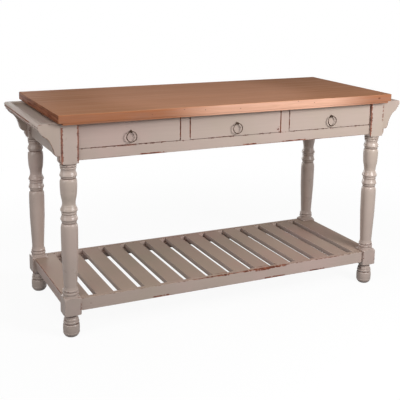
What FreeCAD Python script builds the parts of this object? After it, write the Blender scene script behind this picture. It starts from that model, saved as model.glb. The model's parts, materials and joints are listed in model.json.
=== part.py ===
import FreeCAD, Part
import math
import os

from FreeCAD import Vector

# A painted kitchen island: wooden top, turned legs, three drawers, end shelves and a slatted lower shelf.
# Millimetres, Z up. The front faces -Y and the origin is on the floor under the middle of the top.

# Overall sizes
TABLE_HEIGHT = 914.0
TOP_LENGTH = 1545.0
TOP_DEPTH = 645.0
END_OVERHANG = 17.5
FRONT_OVERHANG = 28.5
END_SHELF_REACH = 90.0

# Wooden top: a slab with a strip scribed round the legs under its front and back edges
TOP_THICK = 32.0
TOP_ARRIS = 2.0
TOP_CORNER = 5.0
STRIP_THICK = 8.0
STRIP_SETBACK = 2.5

# Legs: the two square blocks, and the turning between and below them
LEG_BLOCK = 68.0
TOP_BLOCK_HEIGHT = 165.0
LOW_BLOCK_BOTTOM = 95.0
LOW_BLOCK_HEIGHT = 75.0
BLOCK_CHAMFER = 3.0
# Each turning is a list of (share of its length from the top, share of half the block).
SHAFT_TURNING = [
    (0.0, 0.97), (0.035, 0.97), (0.057, 0.84), (0.079, 0.98), (0.097, 0.98), (0.115, 0.87), (0.127, 0.98),
    (0.17, 0.98), (0.225, 0.93), (0.296, 0.76), (0.325, 0.98), (0.355, 0.98), (0.375, 0.84), (0.395, 0.98),
    (0.425, 0.98), (0.44, 0.87), (0.465, 0.98), (0.55, 0.98), (0.7, 0.95), (0.92, 0.775), (0.955, 0.88),
    (1.0, 0.94),
]
FOOT_TURNING = [(0.0, 0.9), (0.17, 0.74), (0.3, 0.91), (0.41, 0.87), (0.5, 0.98), (0.78, 0.96), (1.0, 0.65)]

# Boards of the base and how they are tenoned into the legs
BOARD = 22.0
RECESS = 10.0
APRON_LIFT = 10.0
TENON_THICK = 10.0
TENON_LENGTH = 24.0
TENON_SHOULDER = 6.0
JOINT_PLAY = 0.2

# Drawer bay
DRAWERS = 3
FRONT_RAIL_HEIGHT = 44.0
UPPER_RAIL_THICK = 11.0
UPPER_RAIL_LAP = 2.0
DIVIDER_WIDTH = 42.0
DIVIDER_STUB = 5.0
RUNNER_THICK = 16.0
RUNNER_LEDGE = 18.0
GUIDE_HEIGHT = 24.0
STOP_THICK = 12.0
STOP_WIDTH = 12.0
STOP_HEIGHT = 30.0

# Drawers
DRAWER_GAP = 1.5
RUN_CLEAR = 0.4
STOP_CLEAR = 0.3
DRAWER_FRONT = 20.0
DRAWER_SIDE = 12.0
DRAWER_BACK = 12.0
DRAWER_BOTTOM = 6.0
SIDE_DROP = 5.0
GROOVE_DEPTH = 6.0
GROOVE_LIFT = 10.0
BACK_INSET = 8.0
BACK_DROP = 5.0
TAILS = 3
TAIL_LENGTH = 14.0
TAIL_NECK = 15.0
TAIL_FLARE = 21.0

# Ring pulls
RING_OUTER = 46.0
RING_BAR = 3.8
EYE_STANDOFF = 12.0
EYE_THICK = 5.0
EYE_WALL = 2.0
EYE_CLEAR = 0.5
EYE_PLATE = 11.0
EYE_PLATE_THICK = 2.0
EYE_NECK = 6.0
EYE_LIFT = 5.5

# End shelves: bracket, board and moulded rail
BRACKET_THICK = 34.0
BRACKET_SETBACK = 2.0
BRACKET_HEIGHT = 157.0
SHELF_GAP = 4.5
LIP = 9.0
END_BOARD = 18.0
END_BOARD_HOUSING = 6.0
RAIL_WIDTH = 26.0
RAIL_BEAD = 12.0
RAIL_QUIRK = 2.0
RAIL_OVOLO = 16.0

# Lower shelf
SHELF_DROP = 9.0
SHELF_RAIL_HEIGHT = 52.0
SHELF_SIDE_SETBACK = 4.0
SLAT_THICK = 20.0
SLATS_BETWEEN = 12
SLAT_GAP = 31.0
END_SLAT = 98.0
CLEAT = 20.0

# Worked out from the sizes above
UNDER_TOP = TABLE_HEIGHT - TOP_THICK
BLOCK_HALF = LEG_BLOCK / 2
OUT_X = TOP_LENGTH / 2 - END_OVERHANG
OUT_Y = TOP_DEPTH / 2 - FRONT_OVERHANG
LEG_X = OUT_X - BLOCK_HALF
LEG_Y = OUT_Y - BLOCK_HALF
IN_X = OUT_X - LEG_BLOCK
IN_Y = OUT_Y - LEG_BLOCK
END_X = OUT_X + END_SHELF_REACH
FACE_Y = OUT_Y - RECESS
BACK_OF_FRONT = FACE_Y - BOARD
FACE_X = OUT_X - RECESS
UPPER_RAIL_DEPTH = LEG_BLOCK - RECESS + UPPER_RAIL_LAP
RUNNER_STUB = (BOARD - TENON_THICK) / 2
BLOCK_BOTTOM = UNDER_TOP - TOP_BLOCK_HEIGHT
LOW_BLOCK_TOP = LOW_BLOCK_BOTTOM + LOW_BLOCK_HEIGHT
APRON_BOTTOM = BLOCK_BOTTOM + APRON_LIFT
BAY_BOTTOM = APRON_BOTTOM + FRONT_RAIL_HEIGHT
BAY_TOP = UNDER_TOP - UPPER_RAIL_THICK
BAY_WIDTH = (2 * IN_X - (DRAWERS - 1) * DIVIDER_WIDTH) / DRAWERS
BAY_PITCH = BAY_WIDTH + DIVIDER_WIDTH
DIVIDER_X = BAY_PITCH / 2
SHELF_TOP = LOW_BLOCK_TOP - SHELF_DROP
SHELF_BOTTOM = SHELF_TOP - SHELF_RAIL_HEIGHT
SLAT_BOTTOM = SHELF_TOP - SLAT_THICK
SHELF_SIDE_X = FACE_X - SHELF_SIDE_SETBACK
SLAT_PITCH = (2 * (FACE_X - END_SLAT) - SLAT_GAP) / SLATS_BETWEEN
DRAWER_HALF = BAY_WIDTH / 2 - DRAWER_GAP
DRAWER_REAR = FACE_Y - BOARD - STOP_THICK - STOP_CLEAR
SIDE_BOTTOM = BAY_BOTTOM + RUN_CLEAR
SIDE_TOP = BAY_TOP - DRAWER_GAP - SIDE_DROP
PANEL_BOTTOM = SIDE_BOTTOM + GROOVE_LIFT
PANEL_TOP = PANEL_BOTTOM + DRAWER_BOTTOM
RING_RADIUS = (RING_OUTER - RING_BAR) / 2
EYE_HOLE = RING_BAR / math.sqrt(2) + EYE_CLEAR + (EYE_THICK / 2) ** 2 / (2 * RING_RADIUS)
EYE_Y = -FACE_Y - EYE_STANDOFF
EYE_Z = (BAY_BOTTOM + BAY_TOP) / 2 + EYE_LIFT
BRACKET_TOP = UNDER_TOP - SHELF_GAP
BRACKET_FRONT = OUT_Y - BRACKET_SETBACK
BRACKET_BACK = BRACKET_FRONT - BRACKET_THICK
RAIL_IN_X = END_X - RAIL_WIDTH
RAIL_BOTTOM = BRACKET_TOP - RAIL_BEAD - 2 * RAIL_QUIRK - RAIL_OVOLO
QUARTER = 1 - math.sqrt(0.5)


def box(x0, x1, y0, y1, z0, z1):
    return Part.makeBox(x1 - x0, y1 - y0, z1 - z0, Vector(x0, y0, z0))


def mirror_x(shape):
    return shape.mirror(Vector(0, 0, 0), Vector(1, 0, 0))


def mirror_y(shape):
    return shape.mirror(Vector(0, 0, 0), Vector(0, 1, 0))


def moved(shape, x, y=0, z=0):
    copy = shape.copy()
    copy.translate(Vector(x, y, z))
    return copy


def prism(points, direction):
    outline = Part.makePolygon(points + [points[0]])
    return Part.Face(outline).extrude(direction)


def line(a, b):
    return Part.LineSegment(a, b).toShape()


def arc(a, through, b):
    return Part.Arc(a, through, b).toShape()


def save(node, *solids):
    shape = solids[0] if len(solids) == 1 else Part.makeCompound(list(solids))
    shape.exportStep("parts/" + node + ".step")


# Joinery shared by the boards and the legs: with play the tenon becomes its own mortise.
def tenon_x(y_middle, z0, z1, play=0.0):
    half = TENON_THICK / 2 + play
    end = IN_X + TENON_LENGTH + play
    return box(IN_X, end, y_middle - half, y_middle + half, z0 - play, z1 + play)


def tenon_y(x_middle, z0, z1, play=0.0):
    half = TENON_THICK / 2 + play
    end = IN_Y + TENON_LENGTH + play
    return box(x_middle - half, x_middle + half, -end, -IN_Y, z0 - play, z1 + play)


def front_apron_tenon(play=0.0):
    top = UNDER_TOP - TENON_SHOULDER
    return tenon_x(-FACE_Y + BOARD / 2, APRON_BOTTOM + TENON_SHOULDER, top, play)


def front_rail_tenon(play=0.0):
    top = BAY_BOTTOM - TENON_SHOULDER
    return tenon_x(-FACE_Y + BOARD / 2, APRON_BOTTOM + TENON_SHOULDER, top, play)


def upper_rail_tenon(play=0.0):
    return tenon_x(-FACE_Y + BOARD / 2, BAY_TOP, UNDER_TOP, play)


def end_apron_tenon(play=0.0):
    top = UNDER_TOP - TENON_SHOULDER
    return tenon_y(FACE_X - BOARD / 2, APRON_BOTTOM + TENON_SHOULDER, top, play)


def shelf_rail_tenon(play=0.0):
    top = SHELF_TOP - TENON_SHOULDER
    return tenon_x(-FACE_Y + BOARD / 2, SHELF_BOTTOM + TENON_SHOULDER, top, play)


def shelf_side_tenon(play=0.0):
    top = SLAT_BOTTOM - TENON_SHOULDER
    return tenon_y(SHELF_SIDE_X - BOARD / 2, SHELF_BOTTOM + TENON_SHOULDER, top, play)


# Wooden top
def worktop():
    half_x = TOP_LENGTH / 2
    half_y = TOP_DEPTH / 2
    slab = box(-half_x, half_x, -half_y, half_y, UNDER_TOP, TABLE_HEIGHT)
    uprights = [e for e in slab.Edges if abs(e.Vertexes[0].Z - e.Vertexes[1].Z) > TOP_THICK / 2]
    slab = slab.makeFillet(TOP_CORNER, uprights)
    rim = [e for e in slab.Edges if e.BoundBox.ZMin > TABLE_HEIGHT - TOP_ARRIS]
    return slab.makeChamfer(TOP_ARRIS, rim)


def top_strip():
    face = -TOP_DEPTH / 2 + STRIP_SETBACK
    plan = [(-OUT_X, face), (OUT_X, face), (OUT_X, -OUT_Y), (IN_X, -OUT_Y),
            (IN_X, -FACE_Y), (-IN_X, -FACE_Y), (-IN_X, -OUT_Y), (-OUT_X, -OUT_Y)]
    bottom = UNDER_TOP - STRIP_THICK
    return prism([Vector(x, y, bottom) for x, y in plan], Vector(0, 0, STRIP_THICK))


def wooden_top():
    save("worktop", worktop())
    save("top_strip_front", top_strip())
    save("top_strip_back", mirror_y(top_strip()))


# Turned legs
def lathe(z_top, z_bottom, turning):
    length = z_top - z_bottom
    outline = [Vector(BLOCK_HALF * radius, 0, z_top - length * along) for along, radius in turning]
    outline = [Vector(0, 0, z_top)] + outline + [Vector(0, 0, z_bottom)]
    face = Part.Face(Part.makePolygon(outline + [outline[0]]))
    return face.revolve(Vector(0, 0, 0), Vector(0, 0, 1), 360)


def block(z0, z1, chamfered_ends):
    cube = box(-BLOCK_HALF, BLOCK_HALF, -BLOCK_HALF, BLOCK_HALF, z0, z1)
    level = [e for e in cube.Edges if e.BoundBox.ZLength < BLOCK_CHAMFER]
    edges = [e for e in level if round(e.BoundBox.ZMin, 3) in [round(z, 3) for z in chamfered_ends]]
    return cube.makeChamfer(BLOCK_CHAMFER, edges)


def leg(mortises):
    top_block = block(BLOCK_BOTTOM, UNDER_TOP, [BLOCK_BOTTOM])
    low_block = block(LOW_BLOCK_BOTTOM, LOW_BLOCK_TOP, [LOW_BLOCK_BOTTOM, LOW_BLOCK_TOP])
    shaft = lathe(BLOCK_BOTTOM + BLOCK_CHAMFER, LOW_BLOCK_TOP - BLOCK_CHAMFER, SHAFT_TURNING)
    foot = lathe(LOW_BLOCK_BOTTOM + BLOCK_CHAMFER, 0, FOOT_TURNING)
    blank = top_block.fuse([shaft, low_block, foot]).removeSplitter()
    blank.translate(Vector(LEG_X, -LEG_Y, 0))
    return blank.cut(mortises)


def legs():
    shared = [end_apron_tenon(JOINT_PLAY), shelf_rail_tenon(JOINT_PLAY), shelf_side_tenon(JOINT_PLAY)]
    front = leg(shared + [front_rail_tenon(JOINT_PLAY), upper_rail_tenon(JOINT_PLAY)])
    back = mirror_y(leg(shared + [front_apron_tenon(JOINT_PLAY)]))
    save("leg_front_right", front)
    save("leg_front_left", mirror_x(front))
    save("leg_back_right", back)
    save("leg_back_left", mirror_x(back))


# Aprons, rails and dividers of the drawer bay
def board_x(z0, z1, tenon):
    body = box(-IN_X, IN_X, -FACE_Y, -BACK_OF_FRONT, z0, z1)
    return body.fuse([tenon, mirror_x(tenon)])


def runner_outline(x_in, x_out, x_leg, play=0.0):
    """A runner from its front stub to its back stub, cut in at the legs when it reaches past them."""
    end = BACK_OF_FRONT + RUNNER_STUB + play
    near = min(x_out, x_leg) + play
    z = BAY_BOTTOM - RUNNER_THICK - play
    plan = [(x_in - play, -end), (near, -end), (near, -IN_Y), (x_out + play, -IN_Y),
            (x_out + play, IN_Y), (near, IN_Y), (near, end), (x_in - play, end)]
    if x_out <= x_leg:
        plan = [plan[0], plan[1], plan[6], plan[7]]
    return prism([Vector(x, y, z) for x, y in plan], Vector(0, 0, RUNNER_THICK + 2 * play))


def middle_runner(play=0.0):
    half = DIVIDER_WIDTH / 2 + RUNNER_LEDGE
    return runner_outline(DIVIDER_X - half, DIVIDER_X + half, IN_X, play)


def end_runner(play=0.0):
    return runner_outline(IN_X - RUNNER_LEDGE, FACE_X - BOARD, IN_X, play)


def runner_pockets():
    right = [middle_runner(JOINT_PLAY), end_runner(JOINT_PLAY)]
    return right + [mirror_x(pocket) for pocket in right]


def divider(play=0.0):
    half = DIVIDER_WIDTH / 2
    body = box(DIVIDER_X - half, DIVIDER_X + half, -FACE_Y, -BACK_OF_FRONT, BAY_BOTTOM, BAY_TOP)
    stub_y = -FACE_Y + BOARD / 2
    stub_half = TENON_THICK / 2 + play
    stub_x = half - TENON_SHOULDER + play
    stub = box(DIVIDER_X - stub_x, DIVIDER_X + stub_x, stub_y - stub_half, stub_y + stub_half,
               BAY_BOTTOM - DIVIDER_STUB - play, BAY_TOP + DIVIDER_STUB + play)
    return body.fuse(stub) if play == 0 else stub


def drawer_bay():
    sockets = [divider(JOINT_PLAY), mirror_x(divider(JOINT_PLAY))]
    pockets = runner_pockets()
    save("rail_front_lower", board_x(APRON_BOTTOM, BAY_BOTTOM, front_rail_tenon()).cut(sockets + pockets))
    upper = box(-IN_X, IN_X, -FACE_Y, -FACE_Y + UPPER_RAIL_DEPTH, BAY_TOP, UNDER_TOP)
    upper = upper.fuse([upper_rail_tenon(), mirror_x(upper_rail_tenon())])
    save("rail_front_upper", upper.cut(sockets))
    save("divider_right", divider())
    save("divider_left", mirror_x(divider()))
    back = mirror_y(board_x(APRON_BOTTOM, UNDER_TOP, front_apron_tenon()))
    save("apron_back", back.cut(pockets))
    end = box(FACE_X - BOARD, FACE_X, -IN_Y, IN_Y, APRON_BOTTOM, UNDER_TOP)
    end = end.fuse([end_apron_tenon(), mirror_y(end_apron_tenon())])
    save("apron_right", end)
    save("apron_left", mirror_x(end))


def drawer_running_gear():
    runners = [middle_runner(), end_runner()]
    half = DIVIDER_WIDTH / 2
    guide_top = BAY_BOTTOM + GUIDE_HEIGHT
    guides = [
        box(DIVIDER_X - half, DIVIDER_X + half, -BACK_OF_FRONT, BACK_OF_FRONT, BAY_BOTTOM, guide_top),
        box(IN_X, FACE_X - BOARD, -IN_Y, IN_Y, BAY_BOTTOM, guide_top),
    ]
    kicker_front = -FACE_Y + UPPER_RAIL_DEPTH
    kickers = [
        box(DIVIDER_X - half, DIVIDER_X + half, kicker_front, BACK_OF_FRONT, BAY_TOP, UNDER_TOP),
        box(IN_X, FACE_X - BOARD, -IN_Y, IN_Y, BAY_TOP, UNDER_TOP),
    ]
    save("drawer_runners", *runners, *[mirror_x(r) for r in runners])
    save("drawer_guides", *guides, *[mirror_x(g) for g in guides])
    save("drawer_kickers", *kickers, *[mirror_x(k) for k in kickers])
    stop_z = (SIDE_BOTTOM + SIDE_TOP) / 2
    stop = box(DRAWER_HALF - STOP_WIDTH, DRAWER_HALF, BACK_OF_FRONT - STOP_THICK, BACK_OF_FRONT,
               stop_z - STOP_HEIGHT / 2, stop_z + STOP_HEIGHT / 2)
    pair = [stop, mirror_x(stop)]
    save("drawer_stops", *[moved(s, bay_x(n)) for n in range(DRAWERS) for s in pair])


def bay_x(number):
    return (number - (DRAWERS - 1) / 2) * BAY_PITCH


# Drawers: half-blind dovetails at the front, a housed back and a bottom panel in grooves
def tail(number, play=0.0):
    z = SIDE_BOTTOM + (SIDE_TOP - SIDE_BOTTOM) * (number + 0.5) / TAILS
    root = -FACE_Y + DRAWER_FRONT
    end = root - TAIL_LENGTH - play
    neck = TAIL_NECK / 2 + play
    flare = TAIL_FLARE / 2 + play
    x = DRAWER_HALF - DRAWER_SIDE - play
    outline = [(root, z - neck), (end, z - flare), (end, z + flare), (root, z + neck)]
    return prism([Vector(x, y, height) for y, height in outline], Vector(DRAWER_SIDE + play, 0, 0))


def drawer_front():
    face = box(-DRAWER_HALF, DRAWER_HALF, -FACE_Y, -FACE_Y + DRAWER_FRONT,
               BAY_BOTTOM + DRAWER_GAP, BAY_TOP - DRAWER_GAP)
    sockets = [tail(n, JOINT_PLAY) for n in range(TAILS)]
    inside = DRAWER_HALF - DRAWER_SIDE
    back = -FACE_Y + DRAWER_FRONT
    groove = box(-inside, inside, back - GROOVE_DEPTH, back,
                 PANEL_BOTTOM - JOINT_PLAY, PANEL_TOP + JOINT_PLAY)
    return face.cut(sockets + [mirror_x(s) for s in sockets] + [groove])


def drawer_side():
    inside = DRAWER_HALF - DRAWER_SIDE
    front = -FACE_Y + DRAWER_FRONT
    board = box(inside, DRAWER_HALF, front, DRAWER_REAR, SIDE_BOTTOM, SIDE_TOP)
    board = board.fuse([tail(n) for n in range(TAILS)])
    groove = box(inside, inside + GROOVE_DEPTH, front - TAIL_LENGTH, DRAWER_REAR,
                 PANEL_BOTTOM - JOINT_PLAY, PANEL_TOP + JOINT_PLAY)
    back = DRAWER_REAR - BACK_INSET
    housing = box(inside, inside + GROOVE_DEPTH, back - DRAWER_BACK - JOINT_PLAY, back + JOINT_PLAY,
                  PANEL_TOP, SIDE_TOP)
    return board.cut([groove, housing])


def drawer_back():
    half = DRAWER_HALF - DRAWER_SIDE + GROOVE_DEPTH - JOINT_PLAY
    back = DRAWER_REAR - BACK_INSET
    return box(-half, half, back - DRAWER_BACK, back, PANEL_TOP + JOINT_PLAY, SIDE_TOP - BACK_DROP)


def drawer_bottom():
    half = DRAWER_HALF - DRAWER_SIDE + GROOVE_DEPTH - JOINT_PLAY
    front = -FACE_Y + DRAWER_FRONT - GROOVE_DEPTH + JOINT_PLAY
    return box(-half, half, front, DRAWER_REAR - BACK_INSET, PANEL_BOTTOM, PANEL_TOP)


def pull_eye():
    half = EYE_THICK / 2
    side = EYE_PLATE * math.tan(math.pi / 8) / 2
    reach = EYE_PLATE / 2
    corners = [(reach, side), (side, reach), (-side, reach), (-reach, side),
               (-reach, -side), (-side, -reach), (side, -reach), (reach, -side)]
    plate = prism([Vector(x, -FACE_Y, EYE_Z + z) for x, z in corners], Vector(0, -EYE_PLATE_THICK, 0))
    neck = box(-half, half, EYE_Y, -FACE_Y - EYE_PLATE_THICK, EYE_Z - EYE_NECK / 2, EYE_Z + EYE_NECK / 2)
    middle = Vector(-half, EYE_Y, EYE_Z)
    knuckle = Part.makeCylinder(EYE_HOLE + EYE_WALL, EYE_THICK, middle, Vector(1, 0, 0))
    hole = Part.makeCylinder(EYE_HOLE, EYE_THICK, middle, Vector(1, 0, 0))
    return plate.fuse([neck, knuckle]).cut(hole).removeSplitter()


def pull_ring():
    half = RING_BAR / 2
    middle = Vector(0, EYE_Y - half, EYE_Z - RING_RADIUS)
    outside = Part.makeCylinder(RING_RADIUS + half, RING_BAR, middle, Vector(0, 1, 0))
    inside = Part.makeCylinder(RING_RADIUS - half, RING_BAR, middle, Vector(0, 1, 0))
    return outside.cut(inside)


def drawers():
    for number in range(DRAWERS):
        x = bay_x(number)
        name = "drawer_" + str(number + 1)
        save(name + "_front", moved(drawer_front(), x))
        save(name + "_side_right", moved(drawer_side(), x))
        save(name + "_side_left", moved(mirror_x(drawer_side()), x))
        save(name + "_back", moved(drawer_back(), x))
        save(name + "_bottom", moved(drawer_bottom(), x))
        save("pull_eye_" + str(number + 1), moved(pull_eye(), x))
        save("pull_ring_" + str(number + 1), moved(pull_ring(), x))


# End shelves: an ogee bracket on each leg, a board housed between them and a moulded rail along the edge
def bracket():
    def at(out, down):
        return Vector(OUT_X + END_SHELF_REACH * out, -BRACKET_FRONT, BRACKET_TOP - BRACKET_HEIGHT * down)

    root = Vector(OUT_X, -BRACKET_FRONT, BRACKET_TOP)
    seat_top = Vector(RAIL_IN_X, -BRACKET_FRONT, BRACKET_TOP)
    seat = Vector(RAIL_IN_X, -BRACKET_FRONT, RAIL_BOTTOM)
    lip = Vector(END_X - RAIL_QUIRK - RAIL_OVOLO, -BRACKET_FRONT, RAIL_BOTTOM)
    swell = at(0.745, 0.26)
    swell_end = at(0.66, 0.29)
    cove = at(0.43, 0.5)
    cove_end = at(0.31, 0.73)
    bead = at(0.25, 0.795)
    bead_end = at(0.14, 0.815)
    step = at(0.08, 0.815)
    step_end = at(0.08, 0.92)
    foot = at(0.0, 1.0)
    edges = [
        line(root, seat_top), line(seat_top, seat), line(seat, lip),
        arc(lip, swell, swell_end), arc(swell_end, cove, cove_end),
        arc(cove_end, bead, bead_end), line(bead_end, step), line(step, step_end),
        line(step_end, foot), line(foot, root),
    ]
    body = Part.Face(Part.Wire(edges)).extrude(Vector(0, BRACKET_THICK, 0))
    return body.cut(end_board(JOINT_PLAY))


def end_board(play=0.0):
    top = BRACKET_TOP - LIP + play
    bottom = BRACKET_TOP - LIP - END_BOARD - play
    side = BRACKET_BACK + END_BOARD_HOUSING + play
    plan = [(FACE_X, -IN_Y), (OUT_X, -IN_Y), (OUT_X, -side), (RAIL_IN_X, -side),
            (RAIL_IN_X, side), (OUT_X, side), (OUT_X, IN_Y), (FACE_X, IN_Y)]
    return prism([Vector(x, y, bottom) for x, y in plan], Vector(0, 0, top - bottom))


def end_rail():
    def at(inward, down):
        return Vector(END_X - inward, -BRACKET_FRONT, BRACKET_TOP - down)

    ovolo_top = RAIL_BEAD + 2 * RAIL_QUIRK
    bottom = ovolo_top + RAIL_OVOLO
    top_in = at(RAIL_WIDTH, 0)
    top_out = at(RAIL_BEAD, 0)
    bead_end = at(0, RAIL_BEAD)
    quirk = at(2 * RAIL_QUIRK, RAIL_BEAD + RAIL_QUIRK)
    ovolo = at(RAIL_QUIRK, ovolo_top)
    bottom_out = at(RAIL_QUIRK + RAIL_OVOLO, bottom)
    bottom_in = at(RAIL_WIDTH, bottom)
    bead_middle = at(RAIL_BEAD * QUARTER, RAIL_BEAD * QUARTER)
    ovolo_middle = at(RAIL_QUIRK + RAIL_OVOLO * QUARTER, bottom - RAIL_OVOLO * QUARTER)
    edges = [
        line(top_in, top_out), arc(top_out, bead_middle, bead_end), line(bead_end, quirk),
        line(quirk, ovolo), arc(ovolo, ovolo_middle, bottom_out),
        line(bottom_out, bottom_in), line(bottom_in, top_in),
    ]
    return Part.Face(Part.Wire(edges)).extrude(Vector(0, 2 * BRACKET_FRONT, 0))


def end_shelves():
    front = bracket()
    save("bracket_front_right", front)
    save("bracket_front_left", mirror_x(front))
    save("bracket_back_right", mirror_y(front))
    save("bracket_back_left", mirror_x(mirror_y(front)))
    save("end_shelf_right", end_board())
    save("end_shelf_left", mirror_x(end_board()))
    save("end_rail_right", end_rail())
    save("end_rail_left", mirror_x(end_rail()))


# Slatted lower shelf
def slats():
    first = FACE_X - END_SLAT
    width = SLAT_PITCH - SLAT_GAP
    starts = [-first + SLAT_GAP + SLAT_PITCH * n for n in range(SLATS_BETWEEN)]
    return [box(x, x + width, -BACK_OF_FRONT, BACK_OF_FRONT, SLAT_BOTTOM, SHELF_TOP) for x in starts]


def end_slat():
    inner = FACE_X - END_SLAT
    plan = [(inner, -BACK_OF_FRONT), (IN_X, -BACK_OF_FRONT), (IN_X, -IN_Y), (FACE_X, -IN_Y),
            (FACE_X, IN_Y), (IN_X, IN_Y), (IN_X, BACK_OF_FRONT), (inner, BACK_OF_FRONT)]
    return prism([Vector(x, y, SLAT_BOTTOM) for x, y in plan], Vector(0, 0, SLAT_THICK))


def lower_shelf():
    front = board_x(SHELF_BOTTOM, SHELF_TOP, shelf_rail_tenon())
    save("shelf_rail_front", front)
    save("shelf_rail_back", mirror_y(front))
    side = box(SHELF_SIDE_X - BOARD, SHELF_SIDE_X, -IN_Y, IN_Y, SHELF_BOTTOM, SLAT_BOTTOM)
    side = side.fuse([shelf_side_tenon(), mirror_y(shelf_side_tenon())])
    save("shelf_rail_right", side)
    save("shelf_rail_left", mirror_x(side))
    cleat = box(-IN_X, IN_X, -BACK_OF_FRONT, -BACK_OF_FRONT + CLEAT, SLAT_BOTTOM - CLEAT, SLAT_BOTTOM)
    save("shelf_cleats", cleat, mirror_y(cleat))
    save("shelf_slats", *slats())
    save("end_slat_right", end_slat())
    save("end_slat_left", mirror_x(end_slat()))


os.makedirs("parts", exist_ok=True)
wooden_top()
legs()
drawer_bay()
drawer_running_gear()
drawers()
end_shelves()
lower_shelf()
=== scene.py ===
import json
import math

import bmesh
import bpy
from mathutils import Matrix, Vector


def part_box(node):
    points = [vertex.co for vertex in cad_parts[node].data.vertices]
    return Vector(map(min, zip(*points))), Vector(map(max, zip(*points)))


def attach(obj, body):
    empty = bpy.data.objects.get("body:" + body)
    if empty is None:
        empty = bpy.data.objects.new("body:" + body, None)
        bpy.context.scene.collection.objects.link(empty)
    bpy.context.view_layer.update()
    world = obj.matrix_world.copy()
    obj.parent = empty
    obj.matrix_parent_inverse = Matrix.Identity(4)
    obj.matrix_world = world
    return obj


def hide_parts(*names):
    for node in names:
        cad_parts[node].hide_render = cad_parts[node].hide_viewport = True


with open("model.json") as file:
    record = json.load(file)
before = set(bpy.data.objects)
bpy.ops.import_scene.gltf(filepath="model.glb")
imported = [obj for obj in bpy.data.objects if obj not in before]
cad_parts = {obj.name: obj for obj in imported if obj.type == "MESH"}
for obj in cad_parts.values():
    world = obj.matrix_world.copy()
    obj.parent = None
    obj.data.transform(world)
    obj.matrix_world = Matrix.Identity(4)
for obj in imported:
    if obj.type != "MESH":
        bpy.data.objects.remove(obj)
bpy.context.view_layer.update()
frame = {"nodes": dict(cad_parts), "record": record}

NODES = frame["nodes"]
SCENE = bpy.context.scene
MM = 0.001

# Camera of the photograph, in metres and degrees, on a 400 pixel square
CAMERA_PLACE = (-1.54841, -3.17089, 1.4403)
CAMERA_YAW = 25.53
CAMERA_PITCH = 11.88
CAMERA_ROLL = 0.8
CAMERA_FOCAL = 795.48
IMAGE_SIZE = 400.0
SENSOR = 36.0
SHIFT_Y = -0.15
CAMERA_REACH = 50.0

# Studio: the soft light all round, the lamps as (place, target, size, power), and the floor
SOFT_LIGHT = 0.12
LAMPS = {
    "key": ((0.95, -2.1, 1.6), (0.2, 0, 0.6), 1.05, 49),
    "fill": ((-1.7, -1.4, 2.3), (-0.2, 0, 0.5), 1.4, 24),
    "left": ((-3.2, -0.8, 1.2), (-0.4, 0, 0.6), 1.2, 16),
    "side": ((3.4, 1.2, 0.75), (0.3, 0, 0.45), 1.5, 27),
    "back": ((-0.6, 3.3, 0.75), (-0.1, 0, 0.45), 1.6, 56),
}
FLOOR_HALF = 9.0
FLOOR_GLOW = 0.93
FLOOR_SEEN = 0.95
FLOOR_BOUNCE = 0.17
FLOOR_NEAR = 1.1
FLOOR_FAR = 2.6


def rgb(red, green, blue):
    """A colour given in the 0 to 255 steps of a picture, as the linear values that shaders take."""
    def linear(step):
        share = step / 255
        return share / 12.92 if share <= 0.04045 else ((share + 0.055) / 1.055) ** 2.4
    return (linear(red), linear(green), linear(blue), 1.0)


# Colours
FRAME_COAT = [rgb(187, 169, 159), rgb(193, 170, 162), rgb(184, 168, 155)]
# Painted shade: the darker coat of a shelf's upper faces, in the shade of the top
SHELF_SHADED_COAT = [rgb(165, 144, 130), rgb(168, 141, 129), rgb(159, 143, 127)]
GLAZE_AND_SHADE = rgb(92, 62, 52)
WORN_WOOD = rgb(152, 95, 74)
WORN_DARK = rgb(98, 57, 47)
TOP_DARK = rgb(180, 125, 90)
TOP_MIDDLE = rgb(186, 130, 94)
TOP_PALE = rgb(192, 137, 101)
END_DARK = rgb(106, 60, 43)
END_PALE = rgb(150, 98, 70)
EDGE_MIDDLE = rgb(162, 114, 90)
EDGE_ORANGE = rgb(168, 110, 78)
FRONT_PALE = rgb(230, 181, 156)
TOP_SHEEN = rgb(196, 144, 116)
KNOT = rgb(92, 48, 30)
PINE_DARK = rgb(182, 142, 101)
PINE_PALE = rgb(217, 184, 141)
BRONZE = rgb(68, 52, 42)
BRONZE_RUBBED = rgb(112, 95, 78)

# Spots on the top, in millimetres: (middle, half size), and how strong they are
FRONT_PALE_SPOT = ((160, -322, 898), (545, 90, 90))
# Painted sheen: the paler middle of the top's upper face
SHEEN_SPOT = ((-40, 0, 914), (640, 700, 90))
TOP_KNOTS = [((703, -322, 899), (9, 14, 5))]
KNOT_SHARE = 0.75
SHEEN_SHARE = 0.5
RIM_TONE = -0.16
MIDDLE_SHEEN_TONE = 0.02

# Eased edges
EASE = {"paint": 1.4 * MM, "top_wood": 0.8 * MM, "bare_wood": 0.7 * MM}
MOULDING_EASE = 0.7
EASE_SEGMENTS = 2
CREASE_ANGLE = math.radians(28)
FLAT_ANGLE = math.radians(1)
WELD_REACH = 0.01 * MM

# Turned leg, in millimetres, with its blocks as (bottom, top)
LEG_BLOCK = 68.0
BLOCK_CORNER = 2.0
LOW_BLOCK = (95.0, 170.0)
TOP_BLOCK = (717.0, 882.0)
POMMEL_HEIGHT = 11.0
SHOULDER_HEIGHT = 2.5
POMMEL_STEPS = 5

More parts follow.
